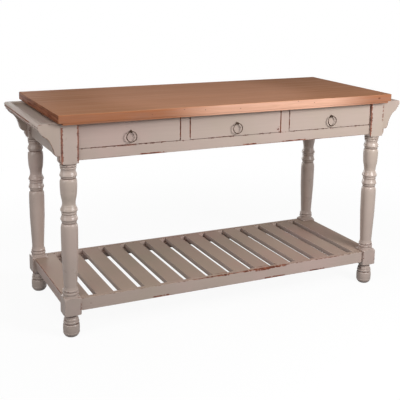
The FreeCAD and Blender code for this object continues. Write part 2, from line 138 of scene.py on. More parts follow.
# A turning goes up from its first diameter in parts of (height, end diameter, shape)
# The shape is a line, an ogee, a round shoulder, or how far a bead swells, below zero for a cove
LINE = "line"
OGEE = "ogee"
ROUND = "round"
FOOT_START = 44.0
FOOT_TURNING = [
    (20.0, 65.5, 7.0), (28.0, 66.0, 2.0), (6.0, 60.0, 2.5), (2.0, 58.5, -1.0), (9.0, 61.0, 4.5),
    (2.5, 57.5, -1.0), (11.5, 53.0, 4.5), (8.0, 49.0, OGEE), (8.0, 58.0, -3.0),
]
SHAFT_START = 62.0
SHAFT_TURNING = [
    (8.0, 60.0, OGEE), (12.0, 59.5, 5.5), (2.0, 58.0, -1.0), (9.0, 56.5, 5.0), (11.0, 53.0, OGEE),
    (138.0, 66.0, LINE), (70.0, 67.8, LINE), (26.0, 67.8, LINE), (26.0, 58.5, ROUND),
    (5.0, 57.5, -1.0), (3.0, 60.5, OGEE), (5.0, 60.5, LINE),
    (4.0, 67.6, OGEE), (4.0, 67.4, 0.6), (13.0, 60.0, OGEE), (5.0, 57.0, LINE),
    (3.0, 60.5, OGEE), (4.0, 60.5, LINE), (4.0, 58.5, -1.0),
    (4.0, 67.8, OGEE), (4.0, 67.6, 0.4), (16.0, 56.0, OGEE), (4.0, 53.0, OGEE), (5.0, 52.5, LINE),
    (44.0, 65.2, OGEE), (24.0, 67.8, LINE), (14.0, 67.8, LINE), (17.0, 58.5, ROUND),
    (3.0, 58.0, -1.0), (2.0, 61.0, OGEE), (4.0, 61.0, LINE),
    (3.0, 67.4, OGEE), (4.0, 67.4, 0.8), (15.0, 59.5, OGEE), (7.0, 57.5, LINE),
    (10.0, 59.0, 5.5), (10.0, 60.5, 6.5), (1.5, 65.0, OGEE), (3.5, 66.0, LINE),
]
PART_ROWS = {LINE: 2, OGEE: 6, ROUND: 10}
BEAD_ROWS = 8
GROOVE_REACH = 9.0
GROOVE_DEPTH = 3.0
WORN_BEAD = 4.0
CREST_WEAR = 0.8
CUT_WEAR = 0.5
FACE_STEPS = [0.0, 0.17, 0.34, 0.5, 0.65, 0.78, 0.89, 0.96, 1.0]
CORNER_STEPS = [22.5, 45.0, 67.5]

# End shelf mouldings, where three points together make an arc
# The bracket's outline is in shares of its reach and height, from its top corner at the leg
BRACKET_OUTLINE = [
    [(0.0, 0.0)], [(0.711, 0.0)], [(0.711, 0.204)],
    [(0.885, 0.204), (0.8, 0.275), (0.66, 0.335)],
    [(0.66, 0.335), (0.44, 0.5), (0.32, 0.72)],
    [(0.32, 0.72), (0.26, 0.785), (0.14, 0.81)],
    [(0.08, 0.81)], [(0.08, 0.92)], [(0.0, 1.0)],
]
# The rail's outline is in millimetres inward and down from its top outer corner
RAIL_OUTLINE = [
    [(26.0, 0.0)],
    [(10.0, 0.0), (2.6, 3.2), (0.0, 10.0)], [(3.0, 12.0)],
    [(0.8, 14.0), (1.8, 19.5), (5.0, 23.5)], [(8.0, 24.5)],
    [(6.0, 26.5), (7.0, 30.0), (10.0, 32.0)], [(26.0, 32.0)],
]
ARC_STEPS = 10
SAME_POINT = 1e-6

# Worn places, in millimetres: (middle, half size, gain along edges, gain on faces)
WORN_LEG_FRONT_LEFT = [
    ((-755, -294, 790), (12, 14, 76), 0.9, 0.0), ((-687, -294, 795), (12, 14, 80), 1.0, 0.0),
    ((-755, -294, 132), (14, 14, 44), -0.45, 0.0),
]
WORN_LEG_FRONT_RIGHT = [
    ((687, -294, 800), (12, 14, 84), 0.75, 0.0), ((755, -294, 825), (10, 14, 40), 0.4, 0.0),
]
WORN_DRAWERS = [
    ((-686, -284, 822), (12, 14, 46), 1.2, 0.0), ((-257, -284, 828), (11, 14, 46), 1.4, 0.0),
    ((-490, -284, 772), (42, 14, 10), 1.5, 0.0), ((-214, -284, 824), (11, 14, 48), 1.4, 0.0),
    ((214, -284, 820), (12, 14, 56), 1.6, 0.0), ((206, -284, 788), (14, 14, 14), 0.6, 0.45),
    ((-55, -284, 772), (40, 14, 10), 1.1, 0.0), ((686, -284, 820), (10, 14, 54), 1.2, 0.0),
    ((258, -284, 820), (9, 14, 40), 0.4, 0.0), ((-480, -284, 772), (190, 14, 10), 0.5, 0.0),
]
WORN_RAIL = [
    ((-380, -284, 727), (60, 14, 7), 1.4, 0.9), ((64, -284, 727), (36, 14, 8), 1.2, 0.95),
    ((285, -284, 727), (66, 14, 7), 1.2, 0.9), ((160, -284, 727), (210, 14, 12), 0.9, 0.0),
    ((-560, -284, 727), (90, 14, 12), 0.7, 0.0), ((500, -284, 727), (150, 14, 12), 0.7, 0.0),
    ((-490, -284, 771), (42, 14, 9), 1.2, 0.0),
]
WORN_SHELF_FRONT = [
    ((-45, -284, 161), (36, 9, 7), 1.0, 0.55), ((-90, -284, 161), (40, 7, 4), 1.0, 0.4),
    ((82, -284, 161), (40, 8, 6), 1.0, 0.55), ((148, -284, 161), (44, 11, 11), 1.2, 0.95),
    ((222, -284, 161), (52, 10, 8), 1.2, 0.8), ((50, -284, 161), (250, 6, 4), 1.0, 0.2),
    ((-338, -284, 109), (42, 12, 9), 1.3, 0.85), ((212, -284, 109), (56, 12, 8), 1.3, 0.95),
    ((436, -284, 109), (44, 12, 7), 1.3, 0.8), ((-60, -284, 109), (320, 10, 10), 0.8, 0.0),
    ((500, -284, 161), (90, 16, 8), 0.4, 0.0),
]
WORN_SLATS = [
    ((0, 0, 151), (850, 320, 50), -0.3, 0.0),
    ((-745, 0, 158), (10, 230, 14), 0.8, 0.0), ((745, 0, 158), (10, 230, 14), 0.7, 0.0),
    ((182, -262, 161), (60, 12, 10), 0.9, 0.1), ((-58, -262, 161), (50, 12, 10), 0.8, 0.0),
]
WORN_BRACKETS = [
    ((-757, -292, 795), (9, 12, 76), 0.9, 0.0), ((-790, -292, 780), (42, 12, 55), 0.7, 0.0),
    ((790, -292, 780), (42, 12, 55), 0.3, 0.0), ((-838, 60, 860), (24, 240, 24), 0.9, 0.0),
    ((-819, -292, 862), (10, 10, 22), -0.9, 0.0), ((819, -292, 862), (10, 10, 22), -0.9, 0.0),
]

# Share of a spot's or a box's half size inside which it is full
SPOT_CORE = 0.45
BOX_CORE = 0.8


class Graph:
    """Short ways to add nodes to one material."""

    def __init__(self, name):
        self.material = bpy.data.materials.new(name)
        self.material.use_nodes = True
        self.tree = self.material.node_tree
        self.shader = self.tree.nodes["Principled BSDF"]

    def feed(self, socket, value):
        if isinstance(value, bpy.types.NodeSocket):
            self.tree.links.new(value, socket)
        else:
            socket.default_value = value

    def node(self, kind, inputs=None, **settings):
        node = self.tree.nodes.new("ShaderNode" + kind)
        for key, value in settings.items():
            setattr(node, key, value)
        for key, value in (inputs or {}).items():
            self.feed(node.inputs[key], value)
        return node

    def place(self):
        return self.node("TexCoord").outputs["Object"]

    def attribute(self, name):
        return self.node("Attribute", attribute_name=name).outputs["Fac"]

    def parts(self, vector):
        return self.node("SeparateXYZ", {0: vector}).outputs

    def math(self, operation, *values):
        return self.node("Math", dict(enumerate(values)), operation=operation).outputs[0]

    def vector(self, operation, *values):
        return self.node("VectorMath", dict(enumerate(values)), operation=operation).outputs[0]

    def length(self, vector):
        return self.node("VectorMath", {0: vector}, operation="LENGTH").outputs["Value"]

    def dot(self, a, b):
        return self.node("VectorMath", {0: a, 1: b}, operation="DOT_PRODUCT").outputs["Value"]

    def step(self, value, low, high, start=0.0, end=1.0):
        """A smooth step: start where value is low, end where it is high."""
        inputs = {"Value": value, "From Min": low, "From Max": high, "To Min": start, "To Max": end}
        return self.node("MapRange", inputs, interpolation_type="SMOOTHSTEP").outputs[0]

    def noise(self, place, scale, detail=3.0, rough=0.5):
        if not isinstance(scale, (int, float)):
            place = self.vector("MULTIPLY", place, scale)
            scale = 1.0
        inputs = {"Vector": place, "Scale": scale, "Detail": detail, "Roughness": rough}
        return self.node("TexNoise", inputs).outputs["Fac"]

    def mix(self, share, a, b):
        return self.node("Mix", {0: share, 6: a, 7: b}, data_type="RGBA").outputs[2]

    def tint(self, colour, value):
        """The colour made lighter or darker by a value near 1."""
        return self.node("HueSaturation", {"Color": colour, "Value": value}).outputs[0]

    def spot(self, place, middle, half):
        """1 at the middle of an ellipsoid, fading to 0 at its rim. Sizes in millimetres."""
        away = self.vector("SUBTRACT", place, [c * MM for c in middle])
        share = self.vector("DIVIDE", away, [c * MM for c in half])
        return self.step(self.length(share), 1.0, SPOT_CORE)

    def stretch(self, place, middle, half):
        """1 inside a box, fading to 0 near its sides. Sizes in millimetres."""
        away = self.vector("SUBTRACT", place, [c * MM for c in middle])
        share = self.vector("ABSOLUTE", self.vector("DIVIDE", away, [c * MM for c in half]))
        x, y, z = self.parts(share)
        return self.step(self.math("MAXIMUM", self.math("MAXIMUM", x, y), z), 1.0, BOX_CORE)

    def bump(self, height, depth):
        return self.node("Bump", {"Height": height, "Distance": depth, "Strength": 1.0}).outputs[0]

    def finish(self, colour, rough, normal=None):
        self.feed(self.shader.inputs["Base Color"], colour)
        self.feed(self.shader.inputs["Roughness"], rough)
        if normal is not None:
            self.feed(self.shader.inputs["Normal"], normal)
        return self.material


# Ranges over which a step runs: of a noise, and of how far a normal leans along an axis
WIDE = (0.2, 0.8)
SOFT = (0.25, 0.75)
EVEN = (0.3, 0.7)
FACING = (0.6, 0.9)

# The coat's clouds and brush strokes, with tones that multiply its colour, and painted shade that darkens
# a leg towards the floor
CLOUD_SCALE = 3.2
CLOUD_HIGH = (0.5, 0.72)
CLOUD_LOW = (0.5, 0.3)
GRAIN = {"x": (4.0, 130.0, 130.0), "y": (130.0, 4.0, 130.0), "z": (130.0, 130.0, 4.0)}
TURNED_GRAIN = 24.0
STROKE_TONES = (0.975, 1.02)
SLAT_PITCH = 105.25 * MM
BOARD_TONES = (0.95, 1.03)
FOOT_HEIGHTS = (0.1, 0.5)
FOOT_SHADE_TONES = (0.88, 1.0)

# Dark glaze in creases and grooves, which also paints their shade
MOTTLE_SCALE = 38.0
CREASE_REACH = 7.0 * MM
CREASE_SAMPLES = 8
CREASE_OPEN = (0.8, 0.3)
CREASE_MOTTLE = (0.2, 0.7)
FULL_GLAZE_AND_SHADE = 0.8
SLAT_GLAZE_AND_SHADE = 0.4
FAINT_GLAZE_AND_SHADE = 0.45
GROOVE_DEEP = (0.2, 1.0)
GROOVE_MOTTLE = (0.2, 0.6)
GROOVE_GLAZE_AND_SHADE = (0.5, 0.95)

# Wear along edges, ragged by mottle and chips
EDGE_REACH = 8.0 * MM
EDGE_LEAN = (0.995, 0.74)
EDGE_SAMPLES = 6
EDGE_WEAR = 0.45
ON_EDGE = 1.0
CHIP_SCALE = 105.0
CHIP_WEAR = 3.4
MOTTLE_WEAR = 1.8
WEAR_LEVEL = -3.2
WEAR_RANGE = (0.0, 0.1)
RUBBED_RANGE = (0.05, 0.25)
DARK_WEAR = (0.85, 1.2)

# The paint's surface, where a leg is glossier than a board
BOARD_ROUGH = (0.42, 0.52)
TURNED_ROUGH = (0.26, 0.34)
WORN_ROUGH = 0.2
BOARD_STROKES = 0.35
TURNED_STROKES = 0.07
PAINT_RELIEF = 0.15 * MM
BOARD_GLOSS = 0.03
TURNED_GLOSS = 0.5
LIMB_BLEND = 0.5
LIMB = (0.3, 0.75)

# The top's wood
TOP_BEND_SCALE = (1.6, 5.0, 5.0)
TOP_BEND = (0.0, 0.05, 0.05)
TOP_GRAIN = (1.3, 42.0, 42.0)
TOP_FINE_GRAIN = (9.0, 420.0, 420.0)
TOP_CLOUD_SCALE = (1.5, 6.0, 6.0)
END_RINGS = (30.0, 12.0, 160.0)
MIDDLE_STREAKS = (0.3, 0.55)
PALE_STREAKS = (0.5, 0.74)
ORANGE_STREAKS = (0.42, 0.62)
FRONT_PALE_STREAKS = (0.25, 0.6)
PALE_RINGS = (0.35, 0.65)
FRONT_PALE_SHARES = (1.0, 0.7)
FINE_TONES = (0.93, 1.04)
CLOUD_TONES = (0.96, 1.03)
TOP_ROUGH = (0.58, 0.48)
FINE_HEIGHT = 0.5
STREAK_HEIGHT = 0.6
TOP_RELIEF = 0.12 * MM
TOP_GLOSS = 0.012

# Pine, bronze and filler
PINE_GRAIN = {"x": (2.5, 60.0, 60.0), "y": (60.0, 2.5, 60.0)}
PINE_FINER = 7
PALE_PINE = (0.32, 0.68)
PINE_TONES = (0.94, 1.03)
PINE_ROUGH = (0.6, 0.72)
PINE_RELIEF = 0.08 * MM
RUB_SCALE = 160.0
RUBBED_BRONZE = (0.45, 0.8)
SMOOTH_BRONZE = (0.3, 0.8)
BRONZE_ROUGH = (0.5, 0.34)
BRONZE_METALLIC = 0.75
PIT_SCALE = 700.0
BRONZE_RELIEF = 0.05 * MM
FILLER_SCALE = 900.0
FILLER_ROUGH = (0.6, 0.75)


def edge_share(g):
    """1 at an arris and 0 a few millimetres away from it, from how far a rounded normal leans."""
    rounded = g.node("Bevel", {"Radius": EDGE_REACH}, samples=EDGE_SAMPLES).outputs[0]
    facing = g.node("NewGeometry").outputs["Normal"]
    return g.step(g.dot(rounded, facing), *EDGE_LEAN)


def paint(name, grain, worn=(), edge=None, boards=0.0, shelf=False, turned=False, glaze_and_shade=FULL_GLAZE_AND_SHADE):
    """Matt paint over brown wood: brushed along the grain, worn through at edges, glazed in creases with
    painted shade, and painted shade on a shelf's upper faces and low on a leg.
    """
    g = Graph(name)
    place = g.place()
    if edge is None:
        edge = edge_share(g)
    elif isinstance(edge, str):
        edge = g.attribute(edge)
    clouds = g.noise(place, CLOUD_SCALE)

    def clouded(coat):
        colour = g.mix(g.step(clouds, *CLOUD_HIGH), coat[0], coat[1])
        return g.mix(g.step(clouds, *CLOUD_LOW), colour, coat[2])

    # The coat, darker on a shelf's upper faces as painted shade, with brush strokes and a tone for each
    # board
    colour = clouded(FRAME_COAT)
    if shelf:
        up = g.parts(g.node("NewGeometry").outputs["Normal"])[2]
        colour = g.mix(g.step(up, *FACING), colour, clouded(SHELF_SHADED_COAT))
    strokes = g.noise(place, TURNED_GRAIN if turned else GRAIN[grain], detail=4.0, rough=0.6)
    colour = g.tint(colour, g.step(strokes, *SOFT, *STROKE_TONES))
    if boards:
        board = g.math("FLOOR", g.math("DIVIDE", g.parts(place)[0], boards))
        tone = g.node("TexWhiteNoise", {"W": board}, noise_dimensions="1D").outputs["Value"]
        colour = g.tint(colour, g.step(tone, 0.0, 1.0, *BOARD_TONES))

    # Dark glaze with painted shade in creases and in the grooves of a leg, and painted shade that darkens
    # a leg towards the floor
    # Painted shade: the glaze follows ambient occlusion, so creases darken where shade falls
    occlusion = g.node("AmbientOcclusion", {"Distance": CREASE_REACH}, samples=CREASE_SAMPLES)
    mottle = g.noise(place, MOTTLE_SCALE, detail=4.0, rough=0.6)
    stain_and_shade = g.step(mottle, *CREASE_MOTTLE, glaze_and_shade * FAINT_GLAZE_AND_SHADE, glaze_and_shade)
    crease = g.math("MULTIPLY", g.step(occlusion.outputs["AO"], *CREASE_OPEN), stain_and_shade)
    colour = g.mix(crease, colour, GLAZE_AND_SHADE)
    if turned:
        # Painted shade: a leg darker towards the floor
        colour = g.tint(colour, g.step(g.parts(place)[2], *FOOT_HEIGHTS, *FOOT_SHADE_TONES))
        groove = g.step(g.attribute("groove"), *GROOVE_DEEP)
        stain_and_shade = g.step(mottle, *GROOVE_MOTTLE, *GROOVE_GLAZE_AND_SHADE)
        colour = g.mix(g.math("MULTIPLY", groove, stain_and_shade), colour, GLAZE_AND_SHADE)

    # Wear down to the wood, along edges and in the worn places
    gain = EDGE_WEAR
    face = 0.0
    for middle, half, edge_gain, face_gain in worn:
        near = g.stretch(place, middle, half)
        gain = g.math("MULTIPLY_ADD", near, edge_gain, gain)
        face = g.math("MULTIPLY_ADD", near, face_gain, face)
    chips = g.noise(place, CHIP_SCALE, detail=4.0, rough=0.7)
    ragged = g.math("MULTIPLY_ADD", chips, CHIP_WEAR, WEAR_LEVEL)
    ragged = g.math("MULTIPLY_ADD", mottle, MOTTLE_WEAR, ragged)
    rubbed = g.math("MULTIPLY_ADD", edge, gain, face)
    wear = g.step(g.math("ADD", rubbed, ragged), *WEAR_RANGE)
    wear = g.math("MULTIPLY", wear, g.step(rubbed, *RUBBED_RANGE))
    wood = g.mix(g.step(g.math("ADD", mottle, chips), *DARK_WEAR), WORN_WOOD, WORN_DARK)
    colour = g.mix(wear, colour, wood)

    # The surface: a leg is glossier, less so at its limbs
    rough = g.step(strokes, *WIDE, *(TURNED_ROUGH if turned else BOARD_ROUGH))
    rough = g.math("MULTIPLY_ADD", wear, WORN_ROUGH, rough)
    height = g.math("MULTIPLY", strokes, TURNED_STROKES if turned else BOARD_STROKES)
    height = g.math("MULTIPLY_ADD", wear, -1.0, height)
    gloss = BOARD_GLOSS
    if turned:
        limb = g.node("LayerWeight", {"Blend": LIMB_BLEND}).outputs["Facing"]
        gloss = g.step(limb, *LIMB, TURNED_GLOSS, BOARD_GLOSS)
    g.feed(g.shader.inputs["Specular IOR Level"], gloss)
    return g.finish(colour, rough, g.bump(height, PAINT_RELIEF))


def painted(name, grain, worn=(), boards=0.0, shelf=False):
    """The paint for a piece's faces and the paint for its eased edges."""
    glaze_and_shade = SLAT_GLAZE_AND_SHADE if boards else FULL_GLAZE_AND_SHADE
    face = paint(name, grain, worn, None, boards, shelf, glaze_and_shade=glaze_and_shade)
    return [face, paint(name + "_edge", grain, worn, ON_EDGE, boards, shelf, glaze_and_shade=glaze_and_shade)]


def top_wood():
    """Stained and waxed wood with lengthwise grain, darker on the end grain."""
    g = Graph("top_wood")
    place = g.place()
    bend = g.noise(place, TOP_BEND_SCALE, detail=2.0)
    bend = g.node("CombineXYZ", {1: bend, 2: bend}).outputs[0]
    bent = g.vector("ADD", place, g.vector("MULTIPLY", bend, TOP_BEND))
    streaks = g.noise(bent, TOP_GRAIN, detail=6.0, rough=0.62)
    fine = g.noise(bent, TOP_FINE_GRAIN, detail=3.0, rough=0.6)
    clouds = g.noise(place, TOP_CLOUD_SCALE, detail=2.0)
    colour = g.mix(g.step(streaks, *MIDDLE_STREAKS), TOP_DARK, TOP_MIDDLE)
    colour = g.mix(g.step(streaks, *PALE_STREAKS), colour, TOP_PALE)
    facing = g.parts(g.node("NewGeometry").outputs["True Normal"])

    # The long edges, with a pale patch along the front and knots
    front = g.step(g.math("ABSOLUTE", facing[1]), *FACING)
    edge = g.mix(g.step(streaks, *ORANGE_STREAKS), EDGE_MIDDLE, EDGE_ORANGE)
    pale_patch = g.math("MULTIPLY", g.spot(place, *FRONT_PALE_SPOT), g.step(streaks, *FRONT_PALE_STREAKS, *FRONT_PALE_SHARES))
    edge = g.mix(pale_patch, edge, FRONT_PALE)
    colour = g.mix(front, colour, edge)
    for middle, half in TOP_KNOTS:
        colour = g.mix(g.math("MULTIPLY", g.spot(place, middle, half), KNOT_SHARE), colour, KNOT)

    # The end grain, and the upper face, with a painted sheen that makes it paler in its middle and darker
    # away from it
    end = g.step(g.math("ABSOLUTE", facing[0]), *FACING)
    rings = g.noise(place, END_RINGS, detail=4.0)
    colour = g.mix(end, colour, g.mix(g.step(rings, *PALE_RINGS), END_DARK, END_PALE))
    upper = g.step(facing[2], *FACING)
    middle = g.spot(place, *SHEEN_SPOT)
    sheen = g.math("MULTIPLY", upper, g.step(middle, 0.0, 1.0, 0.0, SHEEN_SHARE))
    colour = g.mix(sheen, colour, TOP_SHEEN)
    colour = g.tint(colour, g.step(fine, *EVEN, *FINE_TONES))
    colour = g.tint(colour, g.step(clouds, *EVEN, *CLOUD_TONES))
    tone = g.step(middle, 0.0, 1.0, RIM_TONE, MIDDLE_SHEEN_TONE)
    colour = g.tint(colour, g.math("MULTIPLY_ADD", upper, tone, 1.0))

    rough = g.step(streaks, *EVEN, *TOP_ROUGH)
    height = g.math("MULTIPLY_ADD", fine, FINE_HEIGHT, g.math("MULTIPLY", streaks, STREAK_HEIGHT))
    g.shader.inputs["Specular IOR Level"].default_value = TOP_GLOSS
    return g.finish(colour, rough, g.bump(height, TOP_RELIEF))


def bare_wood(name, grain):
    """Unfinished pine of the drawer boxes."""
    g = Graph(name)
    place = g.place()
    streaks = g.noise(place, PINE_GRAIN[grain], detail=5.0, rough=0.6)
    fine = g.noise(place, [scale * PINE_FINER for scale in PINE_GRAIN[grain]], detail=2.0)
    colour = g.mix(g.step(streaks, *PALE_PINE), PINE_DARK, PINE_PALE)
    colour = g.tint(colour, g.step(fine, *EVEN, *PINE_TONES))
    return g.finish(colour, g.step(fine, *WIDE, *PINE_ROUGH), g.bump(fine, PINE_RELIEF))


def bronze():
    """Dark bronze, rubbed a little brighter in places."""
    g = Graph("bronze")
    place = g.place()
    rub = g.noise(place, RUB_SCALE, detail=3.0, rough=0.6)
    colour = g.mix(g.step(rub, *RUBBED_BRONZE), BRONZE, BRONZE_RUBBED)
    pits = g.noise(place, PIT_SCALE, detail=2.0)
    g.shader.inputs["Metallic"].default_value = BRONZE_METALLIC
    return g.finish(colour, g.step(rub, *SMOOTH_BRONZE, *BRONZE_ROUGH), g.bump(pits, BRONZE_RELIEF))


def filler():
    """Dark filler in the nail holes."""
    g = Graph("filler")
    grain = g.noise(g.place(), FILLER_SCALE, detail=2.0)
    return g.finish(g.mix(g.step(grain, *EVEN), KNOT, WORN_DARK), g.step(grain, *WIDE, *FILLER_ROUGH))


# Meshes
def make_object(name, points, faces, smooth=True):
    mesh = bpy.data.meshes.new(name)
    mesh.from_pydata([tuple(p) for p in points], [], faces)
    mesh.validate()
    if smooth:
        mesh.shade_smooth()
        mesh.set_sharp_from_angle(angle=CREASE_ANGLE)
    piece = bpy.data.objects.new(name, mesh)
    SCENE.collection.objects.link(piece)
    return piece


def place_piece(piece, body, slot, materials, *replaced):
    for material in materials:
        piece.data.materials.append(material)
    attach(piece, body)
    if replaced:
        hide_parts(*replaced)


def loft(rings):
    """Points and faces of a closed tube through rings of equal count, capped at both ends."""
    count = len(rings[0])
    points = [p for ring in rings for p in ring]
    faces = []
    for row in range(len(rings) - 1):
        for i in range(count):
            j = (i + 1) % count
            faces.append((row * count + i, row * count + j, (row + 1) * count + j, (row + 1) * count + i))
    faces.append(tuple(reversed(range(count))))
    last = (len(rings) - 1) * count
    faces.append(tuple(range(last, last + count)))
    return points, faces


def joined(*parts):
    """Several (points, faces) as one."""
    points, faces = [], []
    for part_points, part_faces in parts:
        start = len(points)
        points += part_points
        faces += [tuple(i + start for i in face) for face in part_faces]
    return points, faces


def ease(piece, width, edge_material=None, marked=False):
    """Modifiers that join the split faces and round the arrises, or that round only the marked arrises."""
    if not marked:
        weld = piece.modifiers.new("weld", "WELD")
        weld.merge_threshold = WELD_REACH
        flat = piece.modifiers.new("flat", "DECIMATE")
        flat.decimate_type = "DISSOLVE"
        flat.angle_limit = FLAT_ANGLE
    bevel = piece.modifiers.new("ease", "BEVEL")
    bevel.width = width
    bevel.segments = EASE_SEGMENTS
    bevel.limit_method = "WEIGHT" if marked else "ANGLE"
    bevel.angle_limit = CREASE_ANGLE
    bevel.use_clamp_overlap = False
    if edge_material is not None:
        bevel.material = edge_material
    normals = piece.modifiers.new("normals", "WEIGHTED_NORMAL")
    normals.keep_sharp = True


# Turned legs
def square_corner_points():
    """One quarter of a block's outline, from the middle of a face almost to the middle of the next."""
    half = LEG_BLOCK / 2
    flat = half - BLOCK_CORNER
    quarter = [(half, flat * f) for f in FACE_STEPS]
    for angle in CORNER_STEPS:
        turn = math.radians(angle)
        quarter.append((flat + BLOCK_CORNER * math.cos(turn), flat + BLOCK_CORNER * math.sin(turn)))
    quarter += [(flat * f, half) for f in reversed(FACE_STEPS[1:])]
    return quarter


def block_outline():
    outline = []
    for cos, sin in ((1, 0), (0, 1), (-1, 0), (0, -1)):
        outline += [(x * cos - y * sin, x * sin + y * cos) for x, y in square_corner_points()]
    return outline


BLOCK = block_outline()
ANGLES = [math.atan2(y, x) for x, y in BLOCK]


def corner_share(x, y):
    """1 on the rounded corner of a block, fading to 0 on its faces."""
    inside = LEG_BLOCK / 2 - BLOCK_CORNER
    away = max(inside - min(abs(x), abs(y)), 0.0)
    return max(1.0 - away / (EDGE_REACH / MM), 0.0)


def turning_rows(bottom, start, turning):
    """Rows of (height, radius, crest) up a turning."""
    rows = [(bottom, start / 2, 0.0)]
    z, diameter = bottom, start
    for height, end, shape in turning:
        count = PART_ROWS.get(shape, BEAD_ROWS)
        bulge = 0.0 if shape in PART_ROWS else shape
        for n in range(1, count + 1):
            t = n / count
            sweep = {OGEE: t * t * (3 - 2 * t), ROUND: 1 - math.sqrt(1 - t * t)}.get(shape, t)
            swell = math.sqrt(max(1 - (2 * t - 1) ** 2, 0.0))
            crest = CREST_WEAR * swell ** 4 if bulge > WORN_BEAD else 0.0
            radius = (diameter + (end - diameter) * sweep + bulge * swell) / 2
            rows.append((z + height * t, radius, crest))
        z, diameter = z + height, end
    return rows


def groove_share(rows, n):
    """1 in a groove that lies well below the turning on both of its sides."""
    z, radius = rows[n][:2]
    below = max(r for height, r, _ in rows[:n + 1] if z - height <= GROOVE_REACH)
    above = max(r for height, r, _ in rows[n:] if height - z <= GROOVE_REACH)
    return min((min(below, above) - radius) / GROOVE_DEPTH, 1.0)


def leg_rings():
    """Rings of a leg about its own axis, with how worn each point may be."""
    rings = []
    half_diagonal = max(math.hypot(x, y) for x, y in BLOCK)

    def turned(rows):
        for n, (z, radius, crest) in enumerate(rows):
            groove = groove_share(rows, n)
            rings.append([(radius * math.cos(a), radius * math.sin(a), z, crest, groove) for a in ANGLES])

    def square(z, reach):
        ring = []
        for x, y in BLOCK:
            away = math.hypot(x, y)
            share = min(reach / away, 1.0)
            near_cut = 0.0
            if reach < half_diagonal:
                near_cut = max(CUT_WEAR - abs(away - reach) / (EDGE_REACH / MM), 0.0)
            ring.append((x * share, y * share, z, max(near_cut, corner_share(x, y)), 0.0))
        rings.append(ring)

    def pommel(end, inward, radius, height):
        """Rings where the lathe rounds the corners of a block, next to the turning's own end ring."""
        rows = []
        for n in range(1, POMMEL_STEPS + 1):
            turn = math.pi / 2 * n / POMMEL_STEPS
            reach = radius + (half_diagonal - radius) * math.sin(turn)
            rows.append((end + inward * height * (1 - math.cos(turn)), reach))
        return rows

    def block(bottom, top, below, above):
        for z, reach in pommel(bottom, 1, below, SHOULDER_HEIGHT):
            square(z, reach)
        if above is None:
            square(top, half_diagonal)
            return
        for z, reach in reversed(pommel(top, -1, above, POMMEL_HEIGHT)):
            square(z, reach)

    turned(turning_rows(0.0, FOOT_START, FOOT_TURNING))
    block(*LOW_BLOCK, FOOT_TURNING[-1][1] / 2, SHAFT_START / 2)
    turned(turning_rows(LOW_BLOCK[1], SHAFT_START, SHAFT_TURNING))
    block(*TOP_BLOCK, SHAFT_TURNING[-1][1] / 2, None)
    return rings


def make_legs(paints):
    rings = leg_rings()
    shares = {"edge": [point[3] for ring in rings for point in ring],
              "groove": [point[4] for ring in rings for point in ring]}
    for node in [n for n in NODES if n.startswith("leg_")]:
        low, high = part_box(node)
        middle = (low + high) / 2
        placed = []
        for ring in rings:
            placed.append([(middle.x + x * MM, middle.y + y * MM, z * MM) for x, y, z, *_ in ring])
        leg = make_object(node + "_turned", *loft(placed))
        for key, values in shares.items():
            leg.data.attributes.new(key, "FLOAT", "POINT").data.foreach_set("value", values)
        place_piece(leg, "frame", "paint", [paints.get(node, paints["leg"])], node)


# End shelf mouldings
def arc_points(a, b, c):
    """Points of the arc from a through b to c."""
    (ax, ay), (bx, by), (cx, cy) = a, b, c
    d = 2 * (ax * (by - cy) + bx * (cy - ay) + cx * (ay - by))
    a2, b2, c2 = ax * ax + ay * ay, bx * bx + by * by, cx * cx + cy * cy
    x = (a2 * (by - cy) + b2 * (cy - ay) + c2 * (ay - by)) / d
    y = (a2 * (cx - bx) + b2 * (ax - cx) + c2 * (bx - ax)) / d
    radius = math.hypot(ax - x, ay - y)
    start = math.atan2(ay - y, ax - x)
    middle = (math.atan2(by - y, bx - x) - start) % (2 * math.pi)
    sweep = (math.atan2(cy - y, cx - x) - start) % (2 * math.pi)
    if middle > sweep:
        sweep -= 2 * math.pi
    turns = [start + sweep * n / ARC_STEPS for n in range(ARC_STEPS + 1)]
    return [(x + radius * math.cos(t), y + radius * math.sin(t)) for t in turns]


def outline_points(outline):
    points = []
    for piece in outline:
        for point in (arc_points(*piece) if len(piece) == 3 else piece):
            if not points or math.dist(point, points[-1]) > SAME_POINT:
                points.append(point)
    return points


def make_prism(name, outline, y0, y1, joint_sides):
    """A moulding along Y. Its arrises are marked to be eased, except where it joins other pieces."""
    count = len(outline)
    points = [(x, y, z) for y in (y0, y1) for x, z in outline]
    faces = [(i, (i + 1) % count, (i + 1) % count + count, i + count) for i in range(count)]
    faces += [tuple(range(count)), tuple(range(count, 2 * count))]
    piece = make_object(name, points, faces)
    shape = bmesh.new()
    shape.from_mesh(piece.data)
    bmesh.ops.recalc_face_normals(shape, faces=shape.faces[:])
    weights = shape.edges.layers.float.new("bevel_weight_edge")
    for edge in shape.edges:
        i, j = sorted(v.index % count for v in edge.verts)
        side = j if j - i > 1 else i
        if i == j:
            free = i not in joint_sides and (i - 1) % count not in joint_sides
            edge[weights] = 1.0 if free and edge.calc_face_angle() > CREASE_ANGLE else 0.0
        else:
            edge[weights] = 0.0 if side in joint_sides else 1.0
    shape.to_mesh(piece.data)
    shape.free()
    return piece


